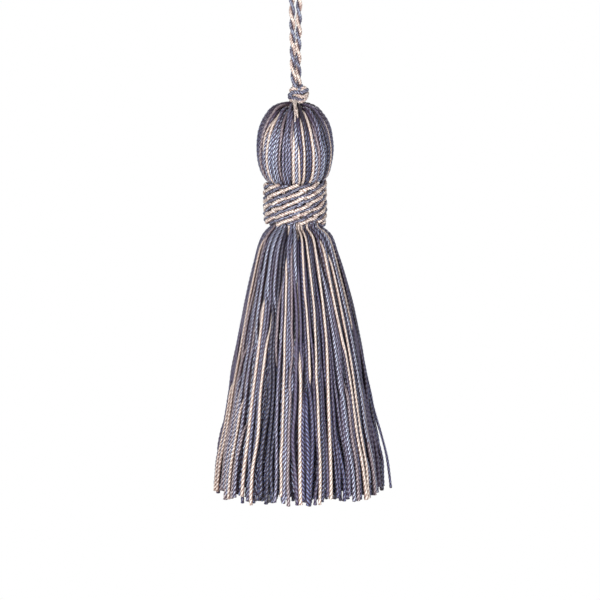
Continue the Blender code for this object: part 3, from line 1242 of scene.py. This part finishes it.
    def _picked(self, azimuth: ndarray, tones: list[Tone]) -> dict[int, ShownYarn]:
        """Picks the yarn that lies nearest to each shown one and moves it there.

        Args:
            azimuth: where each yarn lies, changed for the picked ones.
            tones: their colours, changed likewise.

        Returns:
            The shown yarns, by the number of the yarn picked.
        """
        picked = {}
        outer = np.arange(self.outer)
        for shown in SHOWN_YARNS:
            place = shown.top if shown.head is None else shown.head
            gaps = np.abs(np.degrees(azimuth[outer]) - place)
            gaps[(outer >= self.over_head) != (shown.head is None)] = 360
            nearest = next(n for n in np.argsort(gaps) if n not in picked)
            picked[nearest] = shown
            azimuth[nearest] = math.radians(place)
            tones[nearest] = shown.tone
        return picked

    def _wandering(self, levels: ndarray, total: int, rng: Generator) -> ndarray:
        """How far each yarn strays round the tassel at each level, most near the hem.

        Args:
            levels: distances along the outline.
            total: how many yarns there are.
            rng: for how much and where each strays.

        Returns:
            Angles, by level and yarn.
        """
        low = self.outline.ramp(levels, self.skirt_drop, self.skirt_length)[:, None]
        slant = rng.normal(0, self.slant, total) * low
        strays = np.zeros((len(levels), total))
        for length, size in YARN_WAVES:
            turn = rng.uniform(0, math.tau, total)
            strays += rng.normal(0, size, total) * np.sin(math.tau * levels[:, None] / length + turn)
        return slant + strays * (self.steady + (1 - self.steady) * low)

    def _depths(self, levels: ndarray, rng: Generator) -> ndarray:
        """How deep each yarn wants to lie: those that the surface has no room for lie below the others.

        Args:
            levels: distances along the outline.
            rng: for how each rises and sinks.

        Returns:
            Depths, by level and yarn.
        """
        line = self.outline
        radius = line.at(line.radius, levels)[:, None]
        skirt = line.ramp(levels, self.skirt_drop, 0.008)[:, None]
        upper = skirt * line.ramp(levels, 0.125, -0.03)[:, None]
        full = np.arange(self.outer) * self.spacing / (math.tau * radius)
        turn = rng.uniform(0, math.tau, self.outer)
        rolling = np.sin(math.tau * levels[:, None] / rng.uniform(*self.roll_lengths, self.outer) + turn)
        depth = self.layer * np.maximum(0, full - 0.9 + 0.2 * upper)
        depth = depth + (self.roll_head + self.roll_skirt * skirt) * (1 + rolling)
        depth = depth + skirt * rng.uniform(0, self.deepest, self.outer)
        spread = np.arange(self.inside_head + self.inside_skirt) * 0.618 % 1
        in_skirt = np.sqrt(0.06 + 0.80 * spread)
        in_skirt[self.inside_head:] = 0.84 + 0.11 * spread[self.inside_head:]
        below = line.ramp(levels, 0.066, 0.008)[:, None]
        share = (0.74 + 0.14 * spread) * (1 - below) + in_skirt * below
        return np.hstack([depth, radius * (1 - share)]) + self.yarn_radius

    def _settled(self, levels: ndarray, homes: ndarray, depths: ndarray, present: ndarray,
                 pull: ndarray) -> tuple[ndarray, ndarray]:
        """Lets the yarns push each other aside until they lie side by side.

        Args:
            levels: distances along the outline.
            homes: the azimuth where each yarn wants to be at each level.
            depths: how deep it wants to lie.
            present: where it is there at all.
            pull: how strongly it is drawn home in each round.

        Returns:
            Azimuths and depths, by level and yarn.
        """
        azimuth = homes.astype(np.float32)
        depth = depths.astype(np.float32)
        radius = self.outline.at(self.outline.radius, levels)[:, None].astype(np.float32)
        out = self.outline.at(self.outline.normal_out, levels)[:, None].astype(np.float32)
        both = present[:, :, None] & present[:, None, :]
        for _ in range(self.rounds):
            reach = np.maximum(radius - depth * out, 0.0004)
            around = (azimuth[:, :, None] - azimuth[:, None, :] + math.pi) % math.tau - math.pi
            around *= np.sqrt(reach[:, :, None] * reach[:, None, :])
            below = depth[:, :, None] - depth[:, None, :]
            gap = np.sqrt(around**2 + below**2) + 1e-7
            push = np.where(both, np.clip(self.width - gap, 0, None) / gap, 0) * self.push
            azimuth += np.clip((push * around).sum(2) / reach, -self.most_turn, self.most_turn)
            depth += np.clip((push * below).sum(2), -self.most_sink, self.most_sink)
            azimuth += pull * (homes - azimuth)
            depth += (pull + self.depth_pull) * (depths - depth)
            depth = np.maximum(depth, self.yarn_radius)
            for values in (azimuth, depth):
                values[1:-1] = 0.25 * values[:-2] + 0.5 * values[1:-1] + 0.25 * values[2:]
        return azimuth, depth

    def _cut(self, azimuth: float, inner: bool, rng: Generator) -> float:
        """The drop at which a yarn is cut.

        Args:
            azimuth: where it lies, from the front, in radians.
            inner: whether it lies inside the bundle.
            rng: for how unevenly it is cut.

        Returns:
            The drop.
        """
        ragged = self.hem_ragged * float(wave(HEM_RAG, azimuth - math.pi / 2))
        forward = self.hem_forward * max(math.cos(azimuth), 0.0)
        drop = self.hem_drop + forward + ragged + rng.uniform(*self.hem_uneven)
        return drop - (rng.uniform(0, self.hem_inner) if inner else 0.0)

    def _sorted_by_side(self, yarns: list[Yarn]) -> dict[str, list[Yarn]]:
        """The yarns of each piece.

        Args:
            yarns: all of them.

        Returns:
            The yarns, by the piece's name.
        """
        sides = {"yarns_front": [], "yarns_right": [], "yarns_back": [], "yarns_left": [], "yarns_inside": []}
        for yarn in yarns:
            quarter = int(((math.degrees(yarn.azimuth[-1]) + 45) % 360) // 90)
            sides["yarns_inside" if yarn.inner else list(sides)[quarter]].append(yarn)
        return sides

    def _twist_up(self, spool: Spool, yarn: Yarn, rng: Generator) -> None:
        """Adds one yarn to the spool, a little thicker and thinner along its way.

        Args:
            spool: takes the yarn.
            yarn: where it lies and how it looks.
            rng: for its thickness and its twist.
        """
        line = self.outline
        along = yarn.along
        drops = line.at(line.drop, along)
        low = line.ramp(along, 0.100, 0.048)
        high = line.ramp(along, 0.080, -0.004)
        opened = np.clip(1 - (along[-1] - along) / self.splay, 0, 1) ** 2
        slubs = 1 + 0.05 * np.sin(math.tau * along / rng.uniform(0.009, 0.016) + rng.uniform(0, math.tau))
        girth = rng.uniform(*self.girths) * slubs * (1 + 0.12 * opened) * (1 - 0.15 * yarn.free)
        if yarn.tone is CREAM:
            girth *= 0.88 + 0.12 * low
        pitch = self.ply_pitch * rng.uniform(*self.pitches) * (1 + 0.10 * low + 0.06 * high)
        marks = read_off(MARKS, drops) * rng.uniform(*self.marks)
        marks *= (1 - low) * SOFTER.get(yarn.tone, 1.0) + low
        # Painted shade falls on each yarn's sides and underside, away from the outside; a yarn hanging free
        # gets none.
        outward = line.normals(along, yarn.azimuth) * (1 - yarn.free)[:, None]
        spool.add(line.place(along, yarn.azimuth, yarn.depth), yarn.tone, pitch, yarn.twist, rng, (0, 1),
                  girth * read_off(GIRTH, drops), marks, outward)


# ---- studio ----


@dataclass
class Studio:
    """A white sweep, soft lights and the camera at the photograph's angle."""

    aim: tuple[float, float, float] = (0.0011, 0.0, -0.1014)
    distance: float = 1.0
    elevation: float = math.radians(7.7)
    lens: float = 240.0
    sensor: float = 36.0
    clip: tuple[float, float] = (0.01, 50.0)
    floor_drop: float = 0.30
    floor_size: float = 8.0
    glow: float = 0.42

    def build(self) -> None:
        """Sets up everything round the tassel."""
        self._camera()
        self._floor()
        self._world()
        self._light("key", (-0.32, -0.86, 0.16), 0.20, 8.2)
        self._light("fill", (0.52, -0.76, 0.04), 0.30, 3.9)
        self._light("rim", (0.15, 0.90, 0.35), 0.50, 4.0)

    def _aimed(self, name: str, data: bpy.types.ID, offset: Vector) -> bpy.types.Object:
        """A camera or light some way off that faces the tassel.

        Args:
            name: what it is called.
            data: the camera or light.
            offset: its place from the aim.

        Returns:
            The object.
        """
        made = placed(name, data)
        made.location = Vector(self.aim) + offset
        made.rotation_euler = (-offset).to_track_quat("-Z", "Y").to_euler()
        return made

    def _camera(self) -> None:
        """The camera, far off and with a long lens."""
        data = bpy.data.cameras.new("photograph")
        data.lens = self.lens
        data.sensor_width = self.sensor
        data.clip_start, data.clip_end = self.clip
        away = Vector((0.0, -math.cos(self.elevation), math.sin(self.elevation)))
        bpy.context.scene.camera = self._aimed("photograph", data, away * self.distance)

    def _floor(self) -> None:
        """The white floor, well below the tassel."""
        bpy.ops.object.select_all(action="DESELECT")
        bpy.ops.mesh.primitive_plane_add(size=self.floor_size, location=(0.0, 0.0, -self.floor_drop))
        floor = bpy.context.object
        floor.name = "floor"
        floor.data.materials.append(SweepFinish().build())

    def _world(self) -> None:
        """An even light all round, and plain white behind the tassel."""
        graph = Graph(bpy.data.worlds.new("studio"))
        strength = graph.node("ShaderNodeLightPath", {}) * (1.0 - self.glow) + self.glow
        sky = graph.node("ShaderNodeBackground", {"Color": (1.0, 1.0, 1.0, 1.0), "Strength": strength})
        bpy.context.scene.world = graph.shown(sky)
        bpy.context.scene.view_settings.view_transform = "Standard"

    def _light(self, name: str, offset: tuple[float, float, float], size: float, power: float) -> None:
        """One soft light.

        Args:
            name: what it is called.
            offset: its place from the point that the camera looks at.
            size: its side.
            power: in watts.
        """
        data = bpy.data.lights.new(name, "AREA")
        data.shape = "SQUARE"
        data.size = size
        data.energy = power
        self._aimed(name, data, Vector(offset))


def main() -> None:
    """Builds the tassel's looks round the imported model."""
    logging.basicConfig(level=logging.INFO, format="%(message)s")
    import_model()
    Studio().build()
    materials = {tone: finish.build(tone.value) for tone, finish in PLY_FINISHES.items()}
    lay = CordLay()
    pressed = CordLay(0.00554, ply_radius=0.00028, shut=-0.1, wide_open=0.55)
    pieces = [
        HangingLoop(lay, materials).build(),
        LoopKnot(lay, materials).build(),
        NeckBinding(pressed, materials).build(),
        *YarnBundle(materials).build(),
    ]
    LOG.info("%d pieces, %d triangles", len(pieces), sum(triangles(piece) for piece in pieces))


if __name__ == "__main__":
    main()
